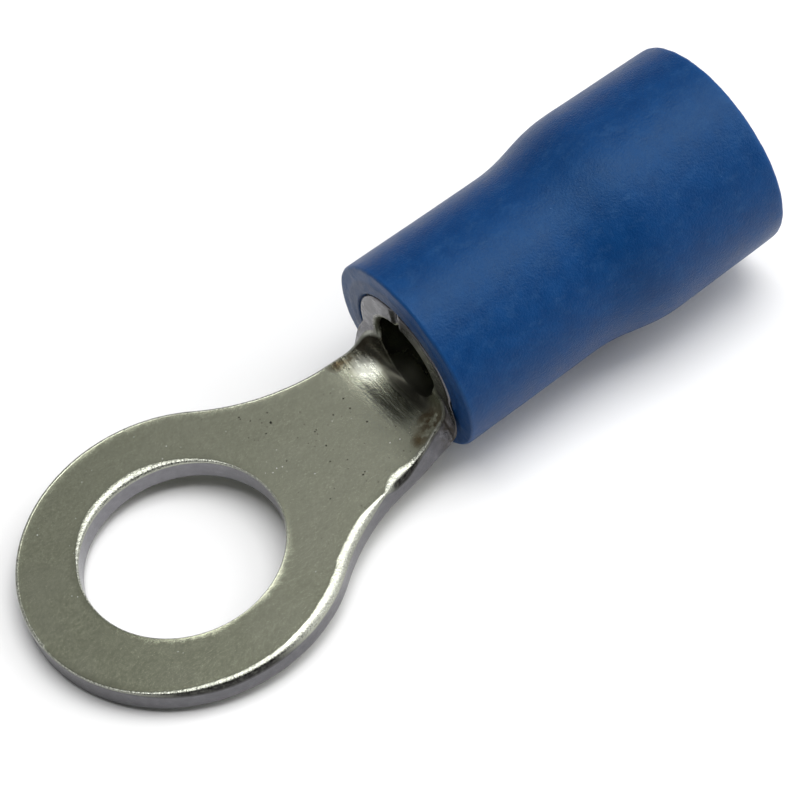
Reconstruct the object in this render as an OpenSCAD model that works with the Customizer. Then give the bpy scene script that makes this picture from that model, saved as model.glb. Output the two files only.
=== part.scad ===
// Insulated crimp ring terminal: one rolled stamping of tinned copper in one moulded sleeve.
// Millimetres. +Z is the stud's axis, +X runs towards the wire entry.
// The origin is the centre of the stud hole on the underside of the tongue.

/* [Ring tongue] */
// Diameter of the stud hole
stud_hole_d = 5.3; // [5.1:0.1:5.5]
// Outside diameter of the ring
ring_d = 8.58; // [8.3:0.02:9.2]
// Thickness of the copper sheet
sheet_t = 0.7; // [0.6:0.05:0.8]
// Radius of the rolled-over top edge round the stud hole
hole_roll = 0.14; // [0.08:0.01:0.2]
// Radius of the rolled-over top edge along the outline
edge_roll = 0.18; // [0.1:0.01:0.24]
// Width of the neck at its narrowest
neck_w = 4.16; // [3.9:0.02:4.4]
// Distance from the stud hole to where the neck is narrowest
neck_x = 6.3; // [5.8:0.05:6.3]

/* [Wire barrel] */
// Distance from the stud hole to the front of the barrel
barrel_x = 7.3; // [7.2:0.05:7.6]
// Inside diameter of the rolled barrel
barrel_id = 2.3; // [2.1:0.1:2.5]
// Length of the barrel
barrel_len = 5.0; // [4.5:0.1:5.4]
// Width of the butted seam along the top of the barrel
seam_w = 0.06; // [0.04:0.01:0.12]
// Radius between the neck's edge and the front of the barrel
shoulder_r = 0.8; // [0.6:0.05:0.85]

/* [Insulating sleeve] */
// Distance from the stud hole to the front of the sleeve
sleeve_x = 7.32; // [7.3:0.02:7.5]
// Length of the sleeve
sleeve_len = 10.13; // [9.8:0.01:10.6]
// Outside diameter of the grip at its front
grip_d = 5.46; // [5.2:0.02:5.6]
// Outside diameter of the grip where the bell begins
waist_d = 5.38; // [5.2:0.02:5.5]
// Largest outside diameter of the bell
bell_d = 6.06; // [5.8:0.02:6.3]
// Outside diameter at the mouth
mouth_d = 5.94; // [5.8:0.02:6.2]
// Inside diameter of the bell
entry_d = 4.4; // [4.2:0.1:4.6]
// Radial play between the barrel and the sleeve
play = 0.01; // [0.01:0.01:0.04]

/* [Hidden] */
$fn = 96;

tin = [0.62, 0.62, 0.57];
blue = [0.09, 0.25, 0.46];

hole_r = stud_hole_d / 2;
ring_r = ring_d / 2;
half_w = neck_w / 2;
barrel_ro = barrel_id / 2 + sheet_t;
barrel_ri = barrel_id / 2;
axis_z = barrel_ro;

// The flank of the neck is an arc that runs into the ring's outline and ends parallel to X.
// It dips under that outline by bite where the two are nearest.
bite = 0.012;
flank_r = (neck_x * neck_x + half_w * half_w - pow(ring_r - bite, 2)) / (2 * (ring_r - bite - half_w));
flank_a = atan2(half_w + flank_r, neck_x);

// The sheet stays flat up to curl_x and is wholly round at barrel_x.
curl_x = 5.5;
lip = 0.012;

// Half width of the unrolled sheet at x.
function sheet_half(x) =
    x < neck_x ? half_w + flank_r - sqrt(flank_r * flank_r - pow(neck_x - x, 2)) :
    x < barrel_x - shoulder_r ? half_w :
    half_w + shoulder_r - sqrt(max(0, shoulder_r * shoulder_r - pow(x - barrel_x + shoulder_r, 2)));

// Curvature of the underside across the sheet at x.
function curl(x) =
    let (s = min(1, max(0, (x - curl_x) / (barrel_x - curl_x))), k1 = 1 / barrel_ro)
    max(1e-4, k1 * (0.61 * pow(s, 1.4) + 0.39 * pow(s, 12)));

// A point of the section at x: a along the underside, h up through the sheet.
function sheet_point(x, a, h) =
    let (k = curl(x), phi = a * k * 180 / PI)
    [x, sin(phi) / k - h * sin(phi), (1 - cos(phi)) / k + h * cos(phi)];

// The outline of the section, as [a, h] pairs, with the top edges rolled over.
nb = 24;
nr = 5;
function outline(x, g) =
    let (w = sheet_half(x) - g, r = edge_roll, t = sheet_t - g)
    concat(
        [for (i = [0 : nb]) [w * (2 * i / nb - 1), g]],
        [for (i = [0 : nr]) [w - r + r * cos(90 * i / nr), t - r + r * sin(90 * i / nr)]],
        [for (i = [1 : nb - 1]) [(w - r) * (1 - 2 * i / nb), t]],
        [for (i = [0 : nr]) [-w + r - r * sin(90 * i / nr), t - r + r * cos(90 * i / nr)]]
    );

// Stations along the throat: [x, inset from the true surface].
stations = concat(
    [[curl_x - 0.3, 0.06]],
    [for (x = [curl_x : (barrel_x - shoulder_r - curl_x) / 5 : barrel_x - shoulder_r - 0.01]) [x, lip]],
    [for (a = [0 : 7.5 : 90]) [barrel_x - shoulder_r + shoulder_r * sin(a), lip]],
    [[barrel_x + 0.3, 0.08]]
);

module throat() {
    rings = [for (s = stations) [for (p = outline(s[0], s[1])) sheet_point(s[0], p[0], p[1])]];
    m = len(rings[0]);
    n = len(rings);
    e = (n - 1) * m;
    polyhedron(
        points = [for (r = rings) for (p = r) p],
        faces = concat(
            [for (i = [0 : n - 2]) for (j = [0 : m - 1]) [i * m + j, (i + 1) * m + j, i * m + (j + 1) % m]],
            [for (i = [0 : n - 2]) for (j = [0 : m - 1]) [(i + 1) * m + j, (i + 1) * m + (j + 1) % m, i * m + (j + 1) % m]],
            [for (f = cap_faces()) f],
            [for (f = cap_faces()) [e + f[2], e + f[1], e + f[0]]]
        )
    );
}

// The faces that close a section: quads from the underside up, then a fan at each rolled corner.
function cap_faces() = let (t = 2 * nb + 1 + nr) concat(
    [for (i = [0 : nb - 1]) [i, i + 1, t - i - 1]],
    [for (i = [0 : nb - 1]) [i, t - i - 1, t - i]],
    [for (k = [0 : nr - 1]) [nb, nb + 1 + k, nb + 2 + k]],
    [for (k = [0 : nr - 1]) [0, t + k, t + k + 1]]
);

// A quarter round in the corner of a profile: centre, radius, first angle.
function quarter(c, r, a0, a1) = [for (i = [0 : 6]) let (a = a0 + (a1 - a0) * i / 6) [c[0] + r * cos(a), c[1] + r * sin(a)]];

// The ring, its top edges rolled over on both sides.
module ring() {
    rotate_extrude()
        polygon(concat(
            [[hole_r, 0], [ring_r, 0]],
            quarter([ring_r - edge_roll, sheet_t - edge_roll], edge_roll, 0, 90),
            quarter([hole_r + hole_roll, sheet_t - hole_roll], hole_roll, 90, 180)
        ));
}

// What is cut away beside the neck, with the lip that leaves its top edge rolled over.
module flank_cutter() {
    translate([neck_x, half_w + flank_r, 0])
        rotate_extrude()
            polygon(concat(
                [[0, -1], [flank_r, -1]],
                quarter([flank_r + edge_roll, sheet_t - edge_roll], edge_roll, 180, 90),
                [[flank_r + edge_roll, sheet_t + 1], [0, sheet_t + 1]]
            ));
}

// The sector of the tongue between the flanks, out to where the sheet begins to curl.
module neck() {
    reach = ring_r + 0.5;
    difference() {
        linear_extrude(height = sheet_t)
            polygon([
                [0, 0],
                [reach * cos(flank_a), -reach * sin(flank_a)],
                [curl_x, -reach * sin(flank_a)],
                [curl_x, reach * sin(flank_a)],
                [reach * cos(flank_a), reach * sin(flank_a)]
            ]);
        flank_cutter();
        mirror([0, 1, 0]) flank_cutter();
        translate([0, 0, -1]) cylinder(h = sheet_t + 2, r = (hole_r + ring_r) / 2);
    }
}

// The rolled barrel, its edges butted along the top.
module barrel() {
    difference() {
        translate([barrel_x, 0, axis_z]) rotate([0, 90, 0]) cylinder(h = barrel_len, r = barrel_ro);
        translate([barrel_x - 1, 0, axis_z]) rotate([0, 90, 0]) cylinder(h = barrel_len + 2, r = barrel_ri);
        translate([barrel_x - 1, -seam_w / 2, axis_z]) cube([barrel_len + 2, seam_w, barrel_ro + 1]);
    }
}

module terminal_body() {
    color(tin) union() {
        ring();
        neck();
        throat();
        barrel();
    }
}

// Outside radius of the bell between waist and crown, as a smooth S.
waist_x = 4.1;
crown_x = 6.85;
function bell(s) = waist_d / 2 + (bell_d - waist_d) / 2 * (s * s * (3 - 2 * s));
rim = 0.12;
inner = barrel_ro + play;

// One moulding: a grip round the barrel and a bell round the wire's insulation.
module insulating_sleeve() {
    color(blue)
        translate([sleeve_x, 0, axis_z]) rotate([0, 90, 0])
            rotate_extrude()
                polygon(concat(
                    [[inner, 0.08], [inner + 0.08, 0]],
                    [for (a = [-90 : 22.5 : 0]) [grip_d / 2 - rim + rim * cos(a), rim + rim * sin(a)]],
                    [for (i = [0 : 12]) [bell(i / 12), waist_x + (crown_x - waist_x) * i / 12]],
                    [for (a = [0 : 22.5 : 90]) [mouth_d / 2 - rim + rim * cos(a), sleeve_len - rim + rim * sin(a)]],
                    [for (a = [90 : 22.5 : 180]) [entry_d / 2 + rim + rim * cos(a), sleeve_len - rim + rim * sin(a)]],
                    [for (i = [0 : 8]) let (s = 1 - i / 8) [inner + (entry_d / 2 - inner) * (s * s * (3 - 2 * s)), 5.2 + 1.6 * s]]
                ));
}

terminal_body();
insulating_sleeve();
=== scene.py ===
import bpy
import math
import numpy as np
from mathutils import Matrix, Vector, noise
from mathutils.geometry import delaunay_2d_cdt


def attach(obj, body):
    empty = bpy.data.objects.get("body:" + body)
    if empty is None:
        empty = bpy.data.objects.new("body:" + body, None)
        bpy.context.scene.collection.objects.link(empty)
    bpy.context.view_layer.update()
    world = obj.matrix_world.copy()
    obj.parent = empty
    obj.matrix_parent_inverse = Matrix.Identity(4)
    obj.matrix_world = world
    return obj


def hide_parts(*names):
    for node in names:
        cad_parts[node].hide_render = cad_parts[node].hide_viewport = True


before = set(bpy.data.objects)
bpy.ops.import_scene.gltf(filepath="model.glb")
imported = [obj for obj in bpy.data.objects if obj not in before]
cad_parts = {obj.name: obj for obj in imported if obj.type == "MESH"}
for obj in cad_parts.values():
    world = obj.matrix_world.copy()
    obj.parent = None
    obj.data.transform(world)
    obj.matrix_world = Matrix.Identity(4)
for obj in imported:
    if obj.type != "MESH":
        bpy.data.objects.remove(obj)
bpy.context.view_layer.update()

MM = 0.001

# ---------------------------------------------------------------- sizes, in millimetres, the same as part.scad
HOLE_R = 2.65
RING_R = 4.285
T = 0.7
HALF_W = 2.08
NECK_X = 6.3
BARREL_X = 7.3
BARREL_LEN = 5.0
RO = 1.85                       # outside radius of the barrel, and the height of its axis
SHOULDER = 0.8
CURL_X = 5.5
FLANK_R = (NECK_X ** 2 + HALF_W ** 2 - RING_R ** 2) / (2 * (RING_R - HALF_W))
SEAM_A = math.pi * RO - 0.03    # half width of the blank where it is rolled


def curl(x):
    s = np.clip((np.asarray(x, float) - CURL_X) / (BARREL_X - CURL_X), 0, 1)
    return np.maximum(1e-4, (0.60 * s ** 1.75 + 0.40 * s ** 22) / RO)


def dip(x, a):
    """How far the top of the sheet sinks past the crease where the flat tongue ends."""
    x, a = np.asarray(x, float), np.asarray(a, float)
    crease = 6.22 + 0.05 * np.abs(a) ** 1.5
    u = np.clip(x - crease, 0, 1.3)
    return 0.135 * u * (1 - np.exp(-u / 0.07)) * np.exp(-(a / 1.3) ** 4)


def bend(x, a, h):
    """Flat blank (x along, a across, h up through the sheet) to the folded part."""
    k = curl(x)
    phi = a * k
    return np.stack([x, np.sin(phi) / k - h * np.sin(phi), (1 - np.cos(phi)) / k + h * np.cos(phi)], -1)


def rnd(seed):
    return np.random.default_rng(seed)


def fbm(p, scale, seed, octaves=3):
    """Smooth noise in about -1..1 at points p (mm), with features about 1/scale mm across."""
    out = np.empty(len(p))
    off = Vector((seed * 7.31, seed * 3.17, seed * 1.93))
    for i, q in enumerate(p):
        out[i] = noise.fractal(Vector((float(q[0]), float(q[1]), float(q[2]))) * scale + off, 0.9, 2.1, octaves)
    return out


# ---------------------------------------------------------------- mesh helper
def make_mesh(name, verts_mm, faces, smooth=True, attrs=None):
    me = bpy.data.meshes.new(name)
    me.from_pydata([tuple(v) for v in (np.asarray(verts_mm) * MM)], [], faces)
    me.validate(clean_customdata=False)
    me.polygons.foreach_set("use_smooth", [smooth] * len(me.polygons))
    for key, val in (attrs or {}).items():
        at = me.attributes.new(key, "FLOAT", "POINT")
        at.data.foreach_set("value", np.asarray(val, np.float32))
    me.update()
    ob = bpy.data.objects.new(name, me)
    bpy.context.scene.collection.objects.link(ob)
    return ob


# ---------------------------------------------------------------- outline of the flat blank
def resample(path, step):
    path = np.asarray(path, float)
    seg = np.linalg.norm(np.diff(path, axis=0), axis=1)
    s = np.r_[0, np.cumsum(seg)]
    n = max(2, int(round(s[-1] / step)))
    t = np.linspace(0, s[-1], n + 1)
    return np.stack([np.interp(t, s, path[:, i]) for i in range(2)], 1)


def arc(c, r, a0, a1, n):
    a = np.radians(np.linspace(a0, a1, n))
    return [(c[0] + r * math.cos(t), c[1] + r * math.sin(t)) for t in a]


def half_outline():
    """From the middle of the rear edge round the left side (a > 0) to the ring's far tip."""
    xe, rc = BARREL_X + BARREL_LEN, 0.2
    pts = [(xe, 0.0), (xe, SEAM_A - rc)]
    pts += arc((xe - rc, SEAM_A - rc), rc, 0, 90, 9)
    pts += [(BARREL_X + rc, SEAM_A)]
    pts += arc((BARREL_X + rc, SEAM_A - rc), rc, 90, 180, 9)
    pts += [(BARREL_X, HALF_W + SHOULDER)]
    pts += arc((BARREL_X - SHOULDER, HALF_W + SHOULDER), SHOULDER, 0, -90, 24)
    pts += [(NECK_X, HALF_W)]
    cy = HALF_W + FLANK_R
    tip = math.degrees(math.atan2(cy, NECK_X))
    pts += arc((NECK_X, cy), FLANK_R, -90, -180 + tip, 60)[1:]
    pts += arc((0, 0), RING_R, tip, 180, 160)[1:]
    return pts


left = resample(half_outline(), 0.065)
right = left[::-1][1:-1] * np.array([1, -1])
outer = np.concatenate([left, right])          # anticlockwise in (x, a)


def loop_normals(p):
    d = np.roll(p, -1, 0) - np.roll(p, 1, 0)
    d /= np.linalg.norm(d, axis=1)[:, None]
    return np.stack([d[:, 1], -d[:, 0]], 1)     # to the right of travel, which is outward


outer_n = loop_normals(outer)
nh = 300
ha = np.linspace(0, 2 * math.pi, nh, endpoint=False)
hole = np.stack([HOLE_R * np.cos(ha), HOLE_R * np.sin(ha)], 1)
hole_n = -hole / HOLE_R                         # out of the metal, so towards the hole's middle


def wobble(p, scale, seed, octaves=3):
    return fbm(np.c_[p, np.zeros(len(p))], scale, seed, octaves)


def smoothstep(x, a, b):
    t = np.clip((x - a) / (b - a), 0, 1)
    return t * t * (3 - 2 * t)


# the rolled-over top edge: how far it reaches in and how far it drops, round the outline
ox, oa = outer[:, 0], outer[:, 1]
side_az = np.degrees(np.arctan2(-oa, ox))                    # 90 at the near side, 0 towards the barrel
on_ring = np.hypot(ox, oa) < RING_R + 0.03
reach = np.full(len(outer), 0.10)
depth = np.full(len(outer), 0.09)
is_near = oa < 0
ring_reach = np.interp(180 - side_az, [0, 22, 38, 52, 66, 90, 104, 125, 160], [0.05, 0.05, 0.065, 0.12, 0.18, 0.20, 0.24, 0.28, 0.29])
ring_depth = np.interp(180 - side_az, [0, 22, 38, 52, 66, 90, 104, 125, 160], [0.05, 0.05, 0.07, 0.15, 0.22, 0.23, 0.25, 0.25, 0.23])
neck_reach = np.interp(ox, [2.4, 3.0, 3.6, 4.1, 4.5, 4.8, 4.98, 5.15, 5.5, 5.8, 6.1, 6.4, 7.1], [0.30, 0.29, 0.27, 0.23, 0.15, 0.08, 0.22, 0.30, 0.29, 0.20, 0.17, 0.10, 0.10])
neck_depth = np.interp(ox, [2.4, 3.0, 3.6, 4.1, 4.5, 4.8, 4.98, 5.15, 5.5, 5.8, 6.1, 6.4, 7.1], [0.23, 0.24, 0.24, 0.21, 0.12, 0.06, 0.18, 0.25, 0.26, 0.17, 0.09, 0.08, 0.08])
to_neck = smoothstep(ox, 2.0, 3.0)
near_reach = ring_reach * (1 - to_neck) + neck_reach * to_neck
near_depth = ring_depth * (1 - to_neck) + neck_depth * to_neck
reach = np.where(is_near, near_reach, reach)
depth = np.where(is_near, near_depth, depth)
reach = reach * (1 + 0.09 * wobble(outer, 0.9, 1) + 0.07 * wobble(outer, 3.4, 2))
depth = depth * (1 + 0.06 * wobble(outer, 1.1, 3))
hid = smoothstep(ox, 7.1, 7.3)
roll_in = reach * (1 - hid) + 0.16 * hid
roll_dn = depth * (1 - hid) + 0.18 * hid
haz = np.degrees(np.arctan2(hole[:, 1], hole[:, 0]))
hole_reach = np.interp(haz, [-180, 0, 20, 46, 70, 90, 105, 120, 135, 150, 180], [0.05, 0.05, 0.05, 0.10, 0.19, 0.24, 0.23, 0.20, 0.13, 0.06, 0.05])
hole_in = hole_reach * (1 + 0.10 * wobble(hole, 0.9, 4) + 0.05 * wobble(hole, 3.6, 5))
hole_dn = (0.03 + 0.60 * hole_reach) * (1 + 0.10 * wobble(hole, 1.1, 6))

ROLL, WALL = 12, 8
# the shape of the roll: gentle at first, then steep (reach left, drop), both as shares
ROLL_IN = np.array([1.0, 0.92, 0.79, 0.66, 0.53, 0.395, 0.265, 0.185, 0.13, 0.09, 0.053, 0.02, 0.0])       # a rubbed edge: slight slope, then a step
ROLL_DN = np.array([0.0, 0.009, 0.027, 0.054, 0.09, 0.14, 0.205, 0.29, 0.40, 0.535, 0.69, 0.85, 1.0])
ROUND_IN = np.array([1.0, 0.92, 0.77, 0.60, 0.46, 0.36, 0.28, 0.21, 0.145, 0.08, 0.03, 0.005, 0.0])         # a rounder edge
ROUND_DN = np.array([0.0, 0.012, 0.055, 0.12, 0.19, 0.265, 0.36, 0.47, 0.585, 0.70, 0.81, 0.91, 1.0])


def edge_loops(p, n, win, wdn, seed, burr, roundness):
    """Loops of (x, a, h) from the top face's rim down to the underside's rim, with a tag for each."""
    loops, tags = [], []
    for i in range(ROLL + 1):
        q = p - n * (win * (ROLL_IN[i] * (1 - roundness) + ROUND_IN[i] * roundness))[:, None]
        loops.append(np.c_[q, T - wdn * (ROLL_DN[i] * (1 - roundness) + ROUND_DN[i] * roundness)])
        tags.append(i / ROLL)
    h0 = T - wdn
    lo = 0.05
    for j in range(1, WALL + 1):
        h = h0 + (lo - h0) * j / WALL
        rough = wobble(np.c_[p[:, 0] + 3.1 * j, p[:, 1]], 2.5, seed + 2)
        inn = 0.003 + (0.003 + 0.003 * rough) * min(1.0, j / 3)
        q = p - n * inn[:, None]
        loops.append(np.c_[q, h])
        tags.append(1 + j / WALL)
    q = p - n * (0.045 + 0.008 * wobble(p, 3.0, seed + 3))[:, None]
    loops.append(np.c_[q, np.full(len(p), burr)])
    tags.append(2.2)
    return loops, tags


along = 180 - side_az                                        # 0 at the tip, 90 at the near side, 180 towards the barrel
rounder = np.where(is_near, smoothstep(along, 88, 104), 0.0)
rounder = np.where(ox > 4.9, 0.35, rounder)
oloops, otags = edge_loops(outer, outer_n, roll_in, roll_dn, 21, 0.0, rounder)
hloops, htags = edge_loops(hole, hole_n, hole_in, hole_dn, 31, 0.0, np.full(len(hole), 0.5))

# ---------------------------------------------------------------- top face triangulation
rim_o, rim_h = oloops[0][:, :2], hloops[0][:, :2]


def inside(poly, q):
    x, y = q[:, 0], q[:, 1]
    c = np.zeros(len(q), bool)
    px, py = poly[:, 0], poly[:, 1]
    jx, jy = np.roll(px, 1), np.roll(py, 1)
    for i in range(len(poly)):
        hit = ((py[i] > y) != (jy[i] > y)) & (x < (jx[i] - px[i]) * (y - py[i]) / (jy[i] - py[i] + 1e-30) + px[i])
        c ^= hit
    return c


def far_from(poly, q, d):
    keep = np.ones(len(q), bool)
    for i in range(0, len(poly), 2):
        keep &= ((q - poly[i]) ** 2).sum(1) > d * d
    return keep


step = 0.15
gx = np.arange(-RING_R, BARREL_X + BARREL_LEN, step)
gy = np.arange(-SEAM_A, SEAM_A, step * 0.866)
grid = np.array([(x + (step / 2 if j % 2 else 0), y) for j, y in enumerate(gy) for x in gx])
grid = grid[inside(rim_o, grid) & ~inside(rim_h, grid)]
grid = grid[far_from(rim_o, grid, 0.1) & far_from(rim_h, grid, 0.1)]
grid = grid + rnd(5).normal(0, 0.006, grid.shape)
fx, fa = np.meshgrid(np.arange(6.0, 7.25, 0.07), np.arange(-2.2, 2.21, 0.07))
fine_grid = np.stack([fx.ravel(), fa.ravel()], 1)
fine_grid = fine_grid[inside(rim_o, fine_grid) & far_from(rim_o, fine_grid, 0.06)]
fine_grid = fine_grid[fine_grid[:, 0] < 7.17] + rnd(6).normal(0, 0.003, (int((fine_grid[:, 0] < 7.17).sum()), 2))
# straight rows where the sheet closes into the barrel
rx, ra = np.meshgrid(np.r_[np.arange(7.19, 7.3001, 0.01), 7.33, 7.38, 7.44], np.arange(-5.5, 5.501, 0.06))
rows = np.stack([rx.ravel(), ra.ravel()], 1)
rows = rows[inside(rim_o, rows) & far_from(rim_o, rows, 0.05)]
grid = grid[(grid[:, 0] < 5.95) | (grid[:, 0] > 7.50) | ((np.abs(grid[:, 1]) > 2.26) & (grid[:, 0] < 7.13))]
fine_grid = np.concatenate([fine_grid, rows])
pts = np.concatenate([rim_o, rim_h, grid, fine_grid])
no, nhh = len(rim_o), len(rim_h)
edges = [(i, (i + 1) % no) for i in range(no)] + [(no + i, no + (i + 1) % nhh) for i in range(nhh)]
v2, e2, f2, vo, eo, fo = delaunay_2d_cdt([Vector(p) for p in pts], edges, [], 0, 1e-7)
assert len(v2) == len(pts), "the triangulation added points"
back = [o[0] for o in vo]
tris = np.array([[back[i] for i in f] for f in f2])
mid = pts[tris].mean(1)
tris = tris[inside(rim_o, mid) & ~inside(rim_h, mid)]
a_, b_, c_ = pts[tris[:, 0]], pts[tris[:, 1]], pts[tris[:, 2]]
area = (b_ - a_)[:, 0] * (c_ - a_)[:, 1] - (b_ - a_)[:, 1] * (c_ - a_)[:, 0]
tris[area < 0] = tris[area < 0][:, ::-1]

# ---------------------------------------------------------------- put the body together in blank coordinates
blank, tag, faces = [], [], []


def add(points, t):
    start = sum(len(b) for b in blank)
    blank.append(points)
    tag.append(np.full(len(points), float(t)))
    return start


top_h = np.full(len(pts), T)
top0 = add(np.c_[pts, top_h], 0)
faces += [tuple(int(i) for i in f) for f in tris]
# the loops below the top rim; the rim itself is the first points of the top face
for loops, tags, n, base in ((oloops, otags, no, 0), (hloops, htags, nhh, no)):
    prev = list(range(base, base + n))
    for lp, tg in zip(loops[1:], tags[1:]):
        s = add(lp, tg)
        cur = list(range(s, s + n))
        for i in range(n):
            j = (i + 1) % n
            q = (prev[i], cur[i], cur[j], prev[j])
            faces.append(q if base == 0 else q[::-1])
        prev = cur
    if base == 0:
        last_o = prev
    else:
        last_h = prev
low = pts.copy()
low0 = add(np.c_[low[no + nhh:], np.zeros(len(low) - no - nhh)], 3)


def low_index(i):
    return last_o[i] if i < no else last_h[i - no] if i < no + nhh else low0 + i - no - nhh


faces += [tuple(low_index(int(i)) for i in f[::-1]) for f in tris]
blank = np.concatenate(blank)
tag = np.concatenate(tag)

# the sheet is never quite plane
flat = (tag == 0)
und = fbm(np.c_[blank[flat][:, :2], np.zeros(flat.sum())], 0.35, 41, 2)
blank[flat, 2] -= 0.004 * (0.5 + 0.5 * und) * (1 - smoothstep(blank[flat, 0], 7.0, 7.4))
# the top sinks a little past the crease
upper = tag < 1.01
blank[upper, 2] -= (dip(blank[:, 0], blank[:, 1]) * (1 - smoothstep(tag, 0.0, 1.0)))[upper]

# small dents pressed into the top face
g = rnd(77)
for k in range(20):
    cx = g.uniform(3.0, 6.1)
    cy = g.uniform(-2.0, 1.9)
    r = g.uniform(0.03, 0.06)
    d = np.hypot(blank[:, 0] - cx, blank[:, 1] - cy)
    m = flat & (d < 3 * r)
    blank[m, 2] -= 0.006 * np.exp(-(d[m] / r) ** 2)
# the nick across the near edge just before the sleeve
nk = np.abs(blank[:, 0] - 7.02) / 0.05
m = (nk < 4) & (blank[:, 1] < -1.9) & (tag < 2.3)
blank[m, 1] += 0.05 * np.exp(-nk[m] ** 2) * (tag[m] > 0.5)
blank[m, 2] -= 0.03 * np.exp(-nk[m] ** 2) * (tag[m] <= 0.5)

body_v = bend(blank[:, 0], blank[:, 1], blank[:, 2])
wall = np.where((tag >= 0.99) & (tag < 2.5), 1.0, np.clip((tag - 0.80) / 0.2, 0, 1) * (tag < 1))
roll = np.where((tag > 0) & (tag <= 1.0), np.sin(np.pi * np.clip(tag, 0, 1)), 0.0)
# painted shade: a dark band in the step under the rubbed edge, along part of the near side
bx_, ba_ = blank[:, 0], blank[:, 1]
along_b = 180 - np.degrees(np.arctan2(-ba_, bx_))
part = np.interp(along_b, [0, 20, 38, 55, 88, 96, 104], [0.1, 0.15, 0.35, 1.0, 1.0, 0.45, 0.0])
part_neck = np.interp(bx_, [2.2, 3.0, 4.8, 5.15, 5.9, 6.2, 6.6, 7.2], [0.0, 0.25, 0.25, 1.0, 1.0, 0.7, 0.7, 0.5])
part = np.where(bx_ > 2.2, part_neck, part) * (ba_ < 0) * (np.hypot(bx_, ba_) > 3.4)
painted_step_shade = smoothstep(tag, 0.36, 0.56) * (1 - smoothstep(tag, 0.98, 1.04)) * part
body = make_mesh("terminal_body_skin", body_v, faces, attrs={"painted_step_shade": painted_step_shade, "wall": wall, "roll": roll, "blank_x": blank[:, 0], "blank_a": blank[:, 1], "blank_h": blank[:, 2]})
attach(body, "root")
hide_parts("terminal_body")

# ---------------------------------------------------------------- sleeve: a revolved skin with slight unevenness
SX, SL = 7.32, 10.13
GRIP, WAIST, BELL, MOUTH, ENTRY = 2.73, 2.69, 3.03, 2.97, 2.2
INNER = 1.86


def s_curve(s):
    s = np.clip(s, 0, 1)
    return s * s * s * (s * (6 * s - 15) + 10)


prof = []
rim = 0.12


def padd(r, x):
    prof.append((r, x))


for t in np.linspace(0, 1, 4):
    padd(INNER + 0.07 * t, 0.07 * (1 - t))
for r in np.linspace(INNER + 0.13, GRIP - 0.2, 7):
    padd(r, 0)
for a in np.radians(np.linspace(-90, 0, 9)):
    padd(GRIP - 0.10 + 0.10 * math.cos(a), 0.10 + 0.10 * math.sin(a))
for x in np.linspace(0.2, 4.1, 27):
    padd(GRIP + (WAIST - GRIP) * min(1, x / 4.1), x)
for s in np.linspace(0, 1, 29)[1:]:
    padd(WAIST + (BELL - WAIST) * s_curve(s), 4.1 + 2.75 * s)
for x in np.linspace(6.85, SL - 0.22, 26)[1:]:
    padd(BELL + (MOUTH - BELL) * (x - 6.85) / (SL - 6.85), x)
for a in np.radians(np.linspace(0, 90, 10)):
    padd(MOUTH - rim + rim * math.cos(a), SL - rim + rim * math.sin(a))
for r in np.linspace(MOUTH - rim - 0.05, ENTRY + rim + 0.05, 6):
    padd(r, SL)
for a in np.radians(np.linspace(90, 180, 10)):
    padd(ENTRY + rim + rim * math.cos(a), SL - rim + rim * math.sin(a))
for x in np.linspace(SL - 0.3, 6.9, 12):
    padd(ENTRY, x)
for s in np.linspace(1, 0, 17):
    padd(INNER + (ENTRY - INNER) * s_curve(s), 5.2 + 1.6 * s)
for x in np.linspace(5.0, 0.2, 16):
    padd(INNER, x)
prof = np.array(prof)
keep = np.r_[True, np.linalg.norm(np.diff(prof, axis=0), axis=1) > 1e-4]
prof = prof[keep]
NS = 256
th = np.linspace(0, 2 * math.pi, NS, endpoint=False)
pr, px_ = prof[:, 0], prof[:, 1]
# outward normal of the profile, in (radius, x)
d = np.roll(prof, -1, 0) - np.roll(prof, 1, 0)
d /= np.linalg.norm(d, axis=1)[:, None]
pn = np.stack([d[:, 1], -d[:, 0]], 1)
R_, TH = np.meshgrid(pr, th, indexing="ij")
X_, _ = np.meshgrid(px_, th, indexing="ij")
N_r, _ = np.meshgrid(pn[:, 0], th, indexing="ij")
N_x, _ = np.meshgrid(pn[:, 1], th, indexing="ij")
P = np.stack([SX + X_, R_ * np.sin(TH), RO + R_ * np.cos(TH)], -1).reshape(-1, 3)
out = (R_ > 0.5 * (INNER + GRIP)).astype(float).reshape(-1)
u1 = fbm(P, 0.22, 51, 2)
u2 = fbm(P, 1.1, 52, 2)
disp = -(0.010 * (0.6 + 0.6 * u1) + 0.0035 * (1 + u2)) * np.clip(out, 0.15, 1)
edge_front = np.exp(-((X_ - 0.0) / 0.12) ** 2).reshape(-1)
edge_back = np.exp(-((X_ - SL) / 0.14) ** 2).reshape(-1)
u3 = fbm(P, 2.2, 53, 3)
disp -= 0.010 * (1 + u3) * (edge_front + edge_back) * out
# the small torn nick in the lower front corner
ang = np.degrees(np.arctan2(P[:, 1], P[:, 2] - RO))
nick = np.exp(-(((ang + 142) / 3.2) ** 2) - (((P[:, 0] - SX - 0.22) / 0.11) ** 2)) * out
disp -= 0.03 * nick
Q = P.copy()
Q[:, 0] += disp * N_x.reshape(-1)
rr = disp * N_r.reshape(-1)
Q[:, 1] += rr * np.sin(TH.reshape(-1))
Q[:, 2] += rr * np.cos(TH.reshape(-1))
Q[:, 0] = np.clip(Q[:, 0], SX, SX + SL)
npf = len(prof)
sf = []
for i in range(npf):
    i2 = (i + 1) % npf
    for j in range(NS):
        j2 = (j + 1) % NS
        sf.append((i * NS + j, i2 * NS + j, i2 * NS + j2, i * NS + j2))
# the rim attribute carries a painted sheen along the sleeve's two ends
sleeve = make_mesh("insulating_sleeve_skin", Q, sf, attrs={"outside": out, "rim": np.clip(edge_front + edge_back, 0, 1) * out})
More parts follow.
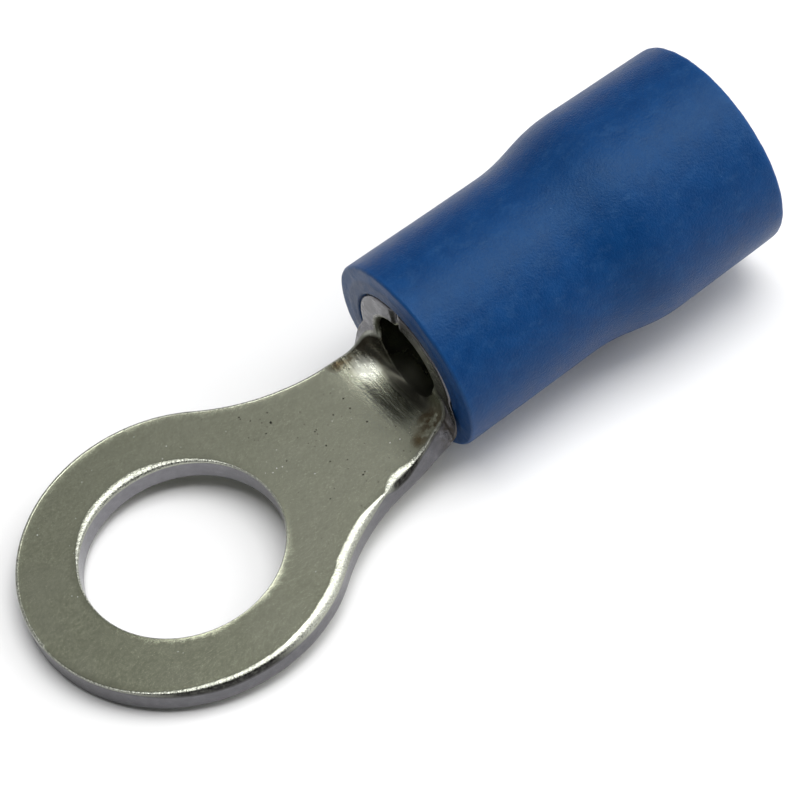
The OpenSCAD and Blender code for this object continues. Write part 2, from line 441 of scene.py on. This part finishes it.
# make sure that the faces look outward
me = sleeve.data
import bmesh
for ob in (body, sleeve):
    bm = bmesh.new()
    bm.from_mesh(ob.data)
    bmesh.ops.recalc_face_normals(bm, faces=bm.faces)
    bm.to_mesh(ob.data)
    bm.free()
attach(sleeve, "root")
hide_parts("insulating_sleeve")


# ---------------------------------------------------------------- node helpers
class Tree:
    def __init__(self, mat):
        mat.use_nodes = True
        self.t = mat.node_tree
        self.t.nodes.clear()

    def n(self, kind, **kw):
        nd = self.t.nodes.new(kind)
        for k, v in kw.items():
            setattr(nd, k, v)
        return nd

    def link(self, a, b):
        self.t.links.new(a, b)

    def put(self, sock, v):
        if isinstance(v, bpy.types.NodeSocket):
            self.link(v, sock)
        else:
            sock.default_value = v

    def math(self, op, a, b=0.5, c=None, clamp=False):
        m = self.n("ShaderNodeMath", operation=op, use_clamp=clamp)
        self.put(m.inputs[0], a)
        self.put(m.inputs[1], b)
        if c is not None:
            self.put(m.inputs[2], c)
        return m.outputs[0]

    def ramp(self, fac, stops, interp="LINEAR"):
        r = self.n("ShaderNodeValToRGB")
        r.color_ramp.interpolation = interp
        els = r.color_ramp.elements
        while len(els) > 1:
            els.remove(els[-1])
        els[0].position, els[0].color = stops[0][0], (*stops[0][1], 1)
        for p, c in stops[1:]:
            e = els.new(p)
            e.color = (*c, 1)
        self.put(r.inputs[0], fac)
        return r.outputs[0]

    def grey(self, fac, stops, interp="LINEAR"):
        return self.ramp(fac, [(p, (v, v, v)) for p, v in stops], interp)

    def mix(self, fac, a, b, mode="MIX"):
        m = self.n("ShaderNodeMix", data_type="RGBA", blend_type=mode)
        self.put(m.inputs[0], fac)
        for s, v in ((m.inputs[6], a), (m.inputs[7], b)):
            if isinstance(v, tuple):
                s.default_value = (*v, 1) if len(v) == 3 else v
            else:
                self.link(v, s)
        return m.outputs[2]

    def fmix(self, fac, a, b):
        m = self.n("ShaderNodeMix", data_type="FLOAT")
        self.put(m.inputs[0], fac)
        self.put(m.inputs[2], a)
        self.put(m.inputs[3], b)
        return m.outputs[0]

    def noise(self, vec, scale, detail=3.0, rough=0.5, w=None, dist=0.0):
        m = self.n("ShaderNodeTexNoise")
        m.noise_dimensions = "4D" if w is not None else "3D"
        self.link(vec, m.inputs["Vector"])
        m.inputs["Scale"].default_value = scale
        m.inputs["Detail"].default_value = detail
        m.inputs["Roughness"].default_value = rough
        m.inputs["Distortion"].default_value = dist
        if w is not None:
            m.inputs["W"].default_value = w
        return m.outputs["Fac"]

    def voronoi(self, vec, scale, feature="F1", rand=1.0):
        m = self.n("ShaderNodeTexVoronoi", feature=feature)
        self.link(vec, m.inputs["Vector"])
        m.inputs["Scale"].default_value = scale
        m.inputs["Randomness"].default_value = rand
        return m

    def scaled(self, vec, s, loc=(0, 0, 0), rot=(0, 0, 0)):
        m = self.n("ShaderNodeMapping")
        self.link(vec, m.inputs["Vector"])
        m.inputs["Scale"].default_value = s
        m.inputs["Location"].default_value = loc
        m.inputs["Rotation"].default_value = rot
        return m.outputs[0]

    def attr(self, name):
        a = self.n("ShaderNodeAttribute", attribute_type="GEOMETRY", attribute_name=name)
        return a.outputs["Fac"]

    def bump(self, height, dist, strength=1.0, normal=None):
        b = self.n("ShaderNodeBump")
        b.inputs["Strength"].default_value = strength
        b.inputs["Distance"].default_value = dist
        self.link(height, b.inputs["Height"])
        if normal is not None:
            self.link(normal, b.inputs["Normal"])
        return b.outputs[0]


def srgb(r, g, b):
    f = lambda c: c / 12.92 if c <= 0.04045 else ((c + 0.055) / 1.055) ** 2.4
    return (f(r / 255), f(g / 255), f(b / 255))


# ---------------------------------------------------------------- tinned copper
def tin_material():
    mat = bpy.data.materials.new("tinned_copper")
    t = Tree(mat)
    co = t.n("ShaderNodeTexCoord").outputs["Object"]
    v = t.scaled(co, (1000, 1000, 1000))          # object space in millimetres
    wall, roll = t.attr("wall"), t.attr("roll")
    bx, ba, bh = t.attr("blank_x"), t.attr("blank_a"), t.attr("blank_h")

    grain = t.noise(v, 15.0, 5.0, 0.62)
    sand = t.noise(v, 52.0, 3.0, 0.6, w=2.0)
    mottle = t.noise(v, 2.4, 4.0, 0.55)
    cloud = t.noise(v, 0.50, 3.0, 0.5)
    speck_d = t.voronoi(v, 7.0).outputs["Distance"]

    # plate: warm olive grey tin, a little lighter towards the neck
    base = t.ramp(grain, [(0.30, (0.262, 0.275, 0.196)), (0.52, (0.306, 0.320, 0.232)), (0.72, (0.350, 0.365, 0.270))])
    base = t.mix(t.grey(mottle, [(0.38, 0.0), (0.68, 0.45)]), base, (0.256, 0.268, 0.196))
    base = t.mix(t.grey(cloud, [(0.42, 0.0), (0.64, 0.40)]), base, (0.326, 0.336, 0.262))
    toward_neck = t.grey(t.math("MULTIPLY_ADD", bx, 0.1, 0.4), [(0.0, 0.0), (0.95, 1.0)])
    base = t.mix(t.math("MULTIPLY", toward_neck, 0.48), base, (0.470, 0.478, 0.384))

    # pits: small dark points, most of them on the neck
    pit_noise = t.noise(v, 2.1, 2.0, 0.5, w=3.0)
    on_neck = t.grey(t.math("MULTIPLY_ADD", bx, 0.1, 0.0), [(0.22, 0.0), (0.40, 1.0), (0.60, 1.0), (0.68, 0.0)])
    pit_r = t.math("MULTIPLY", t.grey(pit_noise, [(0.45, 0.0), (0.70, 1.0)]), t.math("MULTIPLY_ADD", on_neck, 0.19, 0.05))
    pits = t.math("LESS_THAN", speck_d, pit_r)
    base = t.mix(t.math("MULTIPLY", pits, 0.85), base, (0.035, 0.032, 0.025))
    # painted glints: small bright points in the plate's colour
    glint_d = t.voronoi(t.scaled(v, (1, 1, 1), loc=(4.3, 2.2, 0.7)), 5.2).outputs["Distance"]
    glint = t.math("LESS_THAN", glint_d, t.math("MULTIPLY", t.grey(t.noise(v, 1.3, 1.0, 0.5, w=6.0), [(0.50, 0.0), (0.66, 1.0)]), 0.10))
    base = t.mix(t.math("MULTIPLY", glint, 0.7), base, (0.90, 0.91, 0.88))

    # stains: brown film where the sheet enters the barrel, and painted shade darkening the far flank of the throat
    ab = t.math("ABSOLUTE", ba)
    near_throat = t.grey(t.math("ABSOLUTE", t.math("SUBTRACT", bx, 6.85)), [(0.0, 1.0), (0.25, 0.9), (0.60, 0.0)])
    at_edge = t.grey(t.math("MULTIPLY", ab, 0.25), [(0.26, 0.0), (0.40, 1.0)])
    far_shadow = t.math("MULTIPLY", t.grey(t.math("MULTIPLY", ba, 0.25), [(0.28, 0.0), (0.40, 1.0)]), t.grey(t.math("MULTIPLY", bx, 0.1), [(0.645, 0.0), (0.69, 1.0), (0.735, 1.0), (0.76, 0.0)]))
    st_noise = t.noise(v, 2.9, 5.0, 0.65, w=9.0)
    stain = t.math("MULTIPLY", t.math("MULTIPLY", near_throat, at_edge), t.grey(st_noise, [(0.42, 0.0), (0.56, 1.0)]))
    base = t.mix(t.math("MULTIPLY", stain, 0.85), base, (0.075, 0.048, 0.020))
    # painted shade: the far flank of the throat darkened
    base = t.mix(t.math("MULTIPLY", far_shadow, t.grey(st_noise, [(0.30, 0.75), (0.70, 0.95)])), base, (0.050, 0.043, 0.032))

    for cx, ca, r in ((6.28, 1.90, 0.30), (6.32, -1.72, 0.30), (6.95, -1.35, 0.34)):
        qx = t.math("POWER", t.math("MULTIPLY", t.math("SUBTRACT", bx, cx), 1 / r), 2.0)
        qa = t.math("POWER", t.math("MULTIPLY", t.math("SUBTRACT", ba, ca), 1 / r), 2.0)
        spot = t.grey(t.math("ADD", qx, qa), [(0.0, 1.0), (1.0, 0.0)])
        spot = t.math("MULTIPLY", spot, t.grey(st_noise, [(0.36, 0.25), (0.54, 1.0)]))
        base = t.mix(t.math("MULTIPLY", spot, 0.85), base, (0.105, 0.070, 0.028))
    # painted highlight where the tongue starts to rise, far side
    px2 = t.math("POWER", t.math("MULTIPLY", t.math("SUBTRACT", bx, 6.72), 2.6), 2.0)
    pa2 = t.math("POWER", t.math("MULTIPLY", t.math("SUBTRACT", ba, 1.30), 1.8), 2.0)
    painted_highlight_patch = t.grey(t.math("ADD", px2, pa2), [(0.2, 1.0), (1.0, 0.0)])

    # the floor of the throat: painted shade, darker and rougher
    dull_and_shaded = t.math("MULTIPLY", t.grey(t.math("MULTIPLY", bx, 0.1), [(0.690, 0.0), (0.708, 1.0), (0.74, 1.0), (0.80, 0.0)]), t.grey(t.math("MULTIPLY", ab, 0.25), [(0.25, 1.0), (0.42, 0.0)]))
    base = t.mix(t.math("MULTIPLY", dull_and_shaded, 0.82), base, (0.060, 0.056, 0.048))

    # cut walls: even, cooler and darker
    even = t.noise(v, 5.0, 4.0, 0.6, w=1.0)
    cut = t.ramp(even, [(0.30, (0.112, 0.110, 0.118)), (0.55, (0.132, 0.130, 0.139)), (0.75, (0.158, 0.156, 0.165))])
    # painted light: the hole's wall is coloured lighter than the outer walls
    radius = t.math("SQRT", t.math("ADD", t.math("MULTIPLY", bx, bx), t.math("MULTIPLY", ba, ba)))
    cut = t.mix(t.math("LESS_THAN", radius, 3.0), cut, t.ramp(even, [(0.30, (0.178, 0.175, 0.188)), (0.55, (0.205, 0.202, 0.216)), (0.75, (0.240, 0.237, 0.250))]))
    by_sleeve = t.math("MULTIPLY", t.grey(t.math("ABSOLUTE", t.math("SUBTRACT", bx, 7.05)), [(0.0, 1.0), (0.40, 0.0)]), t.math("LESS_THAN", ba, 0.0))
    cut = t.mix(t.math("MULTIPLY", by_sleeve, t.grey(st_noise, [(0.40, 0.0), (0.55, 0.8)])), cut, (0.060, 0.048, 0.032))
    crack = t.math("MULTIPLY", t.grey(t.math("ABSOLUTE", t.math("SUBTRACT", bx, 7.06)), [(0.0, 1.0), (0.035, 0.0)]), t.math("LESS_THAN", ba, 0.0))
    cut = t.mix(t.math("MULTIPLY", crack, 0.85), cut, (0.020, 0.018, 0.015))
    base = t.mix(wall, base, cut)

    base = t.mix(t.math("MULTIPLY", roll, 0.8), base, (0.46, 0.47, 0.42))
    # painted highlight: lighter plate on the far flank of the throat
    base = t.mix(t.math("MULTIPLY", painted_highlight_patch, 0.7), base, (0.46, 0.47, 0.42))
    # painted shade: the dark band in the step under the rubbed edge
    base = t.mix(t.math("MULTIPLY", t.attr("painted_step_shade"), t.grey(t.noise(v, 9.0, 4.0, 0.6, w=7.0), [(0.30, 0.85), (0.55, 1.0)])), base, (0.022, 0.021, 0.020))

    rough = t.fmix(t.grey(grain, [(0.3, 0.0), (0.7, 1.0)]), 0.19, 0.26)
    rough = t.fmix(roll, rough, t.fmix(t.grey(grain, [(0.35, 0.0), (0.65, 1.0)]), 0.20, 0.36))
    rough = t.fmix(wall, rough, 0.24)
    rough = t.fmix(stain, rough, 0.55)
    rough = t.fmix(dull_and_shaded, rough, 0.45)

    nrm = t.bump(grain, 0.000008, 0.45)
    nrm = t.bump(sand, 0.000004, 0.5, nrm)
    nrm = t.bump(mottle, 0.00004, 0.10, nrm)
    torn = t.noise(v, 12.0, 4.0, 0.65, w=5.0)
    nrm = t.bump(t.math("MULTIPLY", torn, roll), 0.00005, 0.6, nrm)
    # forming marks across the tongue in front of the barrel
    marks = t.noise(t.scaled(co, (9000, 700, 700)), 1.0, 4.0, 0.6)
    in_throat = t.grey(t.math("ABSOLUTE", t.math("SUBTRACT", bx, 6.6)), [(0.0, 1.0), (0.35, 1.0), (0.65, 0.0)])
    nrm = t.bump(t.math("MULTIPLY", marks, in_throat), 0.00003, 0.5, nrm)
    speckle = t.noise(v, 34.0, 2.0, 0.5, w=8.0)
    nrm = t.bump(t.math("MULTIPLY", speckle, in_throat), 0.000012, 0.7, nrm)
    nrm = t.bump(t.math("SUBTRACT", 1.0, pits), 0.00002, 0.6, nrm)

    b = t.n("ShaderNodeBsdfPrincipled")
    b.inputs["Metallic"].default_value = 1.0
    t.link(base, b.inputs["Base Color"])
    t.link(rough, b.inputs["Roughness"])
    t.link(nrm, b.inputs["Normal"])
    o = t.n("ShaderNodeOutputMaterial")
    t.link(b.outputs[0], o.inputs[0])
    return mat


# ---------------------------------------------------------------- blue PVC
def pvc_material():
    mat = bpy.data.materials.new("blue_sleeve")
    t = Tree(mat)
    co = t.n("ShaderNodeTexCoord").outputs["Object"]
    v = t.scaled(co, (1000, 1000, 1000))
    painted_rim_sheen = t.attr("rim")
    mott = t.noise(v, 1.9, 5.0, 0.6)
    fine = t.noise(v, 16.0, 4.0, 0.62)
    cloud = t.noise(v, 0.35, 2.0, 0.5)
    base = t.ramp(mott, [(0.30, (0.0012, 0.0300, 0.120)), (0.55, (0.0017, 0.0365, 0.139)), (0.75, (0.0024, 0.0420, 0.156))])
    base = t.mix(t.grey(cloud, [(0.4, 0.0), (0.65, 0.35)]), base, (0.0015, 0.0335, 0.130))
    # pale dust specks and dark specks moulded in
    sp = t.voronoi(v, 5.5).outputs["Distance"]
    spn = t.noise(v, 1.9, 2.0, 0.5, w=4.0)
    dust = t.math("LESS_THAN", sp, t.math("MULTIPLY", t.grey(spn, [(0.54, 0.0), (0.70, 1.0)]), 0.09))
    base = t.mix(t.math("MULTIPLY", dust, 0.35), base, (0.10, 0.20, 0.36))
    sp2 = t.voronoi(t.scaled(v, (1, 1, 1), loc=(3.7, 1.1, 8.2)), 3.4).outputs["Distance"]
    dark = t.math("LESS_THAN", sp2, t.math("MULTIPLY", t.grey(spn, [(0.40, 1.0), (0.56, 0.0)]), 0.055))
    base = t.mix(t.math("MULTIPLY", dark, 0.6), base, (0.002, 0.014, 0.05))
    # a faint whitish scuff film, in fuzzy patches
    sc = t.noise(t.scaled(v, (1.0, 1.4, 1.4)), 2.4, 8.0, 0.78)
    scuff = t.grey(sc, [(0.50, 0.0), (0.70, 1.0)])
    base = t.mix(t.math("MULTIPLY", scuff, 0.13), base, (0.075, 0.17, 0.31))
    # painted sheen: lighter blue along the sleeve's two ends
    base = t.mix(t.math("MULTIPLY", painted_rim_sheen, 0.24), base, (0.030, 0.115, 0.33))

    rough = t.fmix(t.grey(mott, [(0.3, 0.0), (0.7, 1.0)]), 0.32, 0.42)
    rough = t.fmix(t.math("MULTIPLY", scuff, 0.5), rough, 0.60)

    nrm = t.bump(fine, 0.000022, 0.7)
    nrm = t.bump(mott, 0.00003, 0.30, nrm)
    lines = t.noise(t.scaled(v, (0.4, 5.0, 5.0)), 2.2, 2.0, 0.5)
    nrm = t.bump(t.grey(lines, [(0.62, 0.0), (0.72, 1.0)]), 0.000006, 0.2, nrm)

    b = t.n("ShaderNodeBsdfPrincipled")
    t.link(base, b.inputs["Base Color"])
    t.link(rough, b.inputs["Roughness"])
    t.link(nrm, b.inputs["Normal"])
    b.inputs["IOR"].default_value = 1.52
    b.inputs["Specular IOR Level"].default_value = 0.17
    b.inputs["Specular Tint"].default_value = (0.60, 0.88, 1.0, 1.0)
    o = t.n("ShaderNodeOutputMaterial")
    t.link(b.outputs[0], o.inputs[0])
    return mat


tin, pvc = tin_material(), pvc_material()
for ob, m in ((body, tin), (sleeve, pvc)):
    ob.data.materials.clear()
    ob.data.materials.append(m)
for name, m in (("terminal_body", tin), ("insulating_sleeve", pvc)):
    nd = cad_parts[name]
    nd.data.materials.clear()
    nd.data.materials.append(m)

# ---------------------------------------------------------------- stage: pale floor that the part lies on, ring tip and bell down
tip = (-RING_R * MM, 0.0)
slope = min(math.atan2(RO - r, SX + x + RING_R) for r, x in prof)     # tangent from the tip to the sleeve's underside
fm = bpy.data.meshes.new("floor")
L = 1.6
fm.from_pydata([(-L, -L, 0), (L, -L, 0), (L, L, 0), (-L, L, 0)], [], [(0, 1, 2, 3)])
floor = bpy.data.objects.new("floor", fm)
bpy.context.scene.collection.objects.link(floor)
floor.rotation_euler = (0, -slope, 0)
floor.location = (tip[0], 0, tip[1] - 0.00004)
fmat = bpy.data.materials.new("floor_paint")
ft = Tree(fmat)
fb = ft.n("ShaderNodeBsdfPrincipled")
fb.inputs["Base Color"].default_value = (0.86, 0.86, 0.86, 1)
fb.inputs["Roughness"].default_value = 0.9
fb.inputs["Specular IOR Level"].default_value = 0.1
fo_ = ft.n("ShaderNodeOutputMaterial")
ft.link(fb.outputs[0], fo_.inputs[0])
fm.materials.append(fmat)

# ---------------------------------------------------------------- camera
AZ, EL, ROLL = math.radians(25.0), math.radians(52.0), 0.2644
SEEN = Vector((-5.3473, 4.1047, 78.699))        # the model's origin as the camera sees it: right, down, ahead (mm)
ahead = Vector((math.sin(AZ) * math.cos(EL), math.cos(AZ) * math.cos(EL), -math.sin(EL)))
side = ahead.cross(Vector((0, 0, 1))).normalized()
down = ahead.cross(side)
c_, s_ = math.cos(ROLL), math.sin(ROLL)
right_, down_ = side * c_ + down * s_, down * c_ - side * s_
place = -(right_ * SEEN.x + down_ * SEEN.y + ahead * SEEN.z)
cam = bpy.data.cameras.new("camera")
cam.sensor_width = 36.0
cam.lens = 36.0 * 3128.0 / 800.0
cam.clip_start, cam.clip_end = 0.002, 20.0
camo = bpy.data.objects.new("camera", cam)
bpy.context.scene.collection.objects.link(camo)
camo.matrix_world = Matrix.Translation(place * MM) @ Matrix((right_, -down_, -ahead)).transposed().to_4x4()
bpy.context.scene.camera = camo


# ---------------------------------------------------------------- light
def area(name, direction, dist, size, power, color=(1, 1, 1), size_y=None):
    li = bpy.data.lights.new(name, "AREA")
    li.energy = power
    li.color = color
    li.shape = "RECTANGLE"
    li.size = size
    li.size_y = size_y or size
    ob = bpy.data.objects.new(name, li)
    bpy.context.scene.collection.objects.link(ob)
    dv = Vector(direction).normalized()
    centre = Vector((0.0065, 0, 0.001))
    ob.location = centre + dv * dist
    ob.rotation_mode = "QUATERNION"
    ob.rotation_quaternion = dv.to_track_quat("Z", "Y")
    return ob


area("key", (0.25, -0.08, 0.96), 0.45, 0.30, 1.9, size_y=0.38)
area("side", (0.78, -0.41, 0.45), 0.45, 0.34, 1.2)

w = bpy.data.worlds.new("world")
bpy.context.scene.world = w
wt = Tree(w)
wdir = wt.n("ShaderNodeTexCoord").outputs["Generated"]


def glow(direction, inner, outer, level):
    dv = Vector(direction).normalized()
    dp = wt.n("ShaderNodeVectorMath", operation="DOT_PRODUCT")
    wt.link(wdir, dp.inputs[0])
    dp.inputs[1].default_value = dv
    mr = wt.n("ShaderNodeMapRange", interpolation_type="SMOOTHSTEP")
    wt.link(dp.outputs["Value"], mr.inputs["Value"])
    mr.inputs["From Min"].default_value = math.cos(math.radians(outer))
    mr.inputs["From Max"].default_value = math.cos(math.radians(inner))
    mr.inputs["To Min"].default_value = 0.0
    mr.inputs["To Max"].default_value = level
    return mr.outputs["Result"]


lev = wt.math("ADD", 0.14, glow((0.24, 0.62, 0.74), 14, 60, 0.24))
lev = wt.math("ADD", lev, glow((0.35, 0.0, 0.94), 12, 42, 0.30))
wb = wt.n("ShaderNodeBackground")
wt.link(lev, wb.inputs["Strength"])
wb.inputs["Color"].default_value = (1.0, 1.0, 1.0, 1)
wo = wt.n("ShaderNodeOutputWorld")
wt.link(wb.outputs[0], wo.inputs[0])
bpy.context.scene.view_settings.view_transform = "Standard"
bpy.context.scene.view_settings.look = "None"
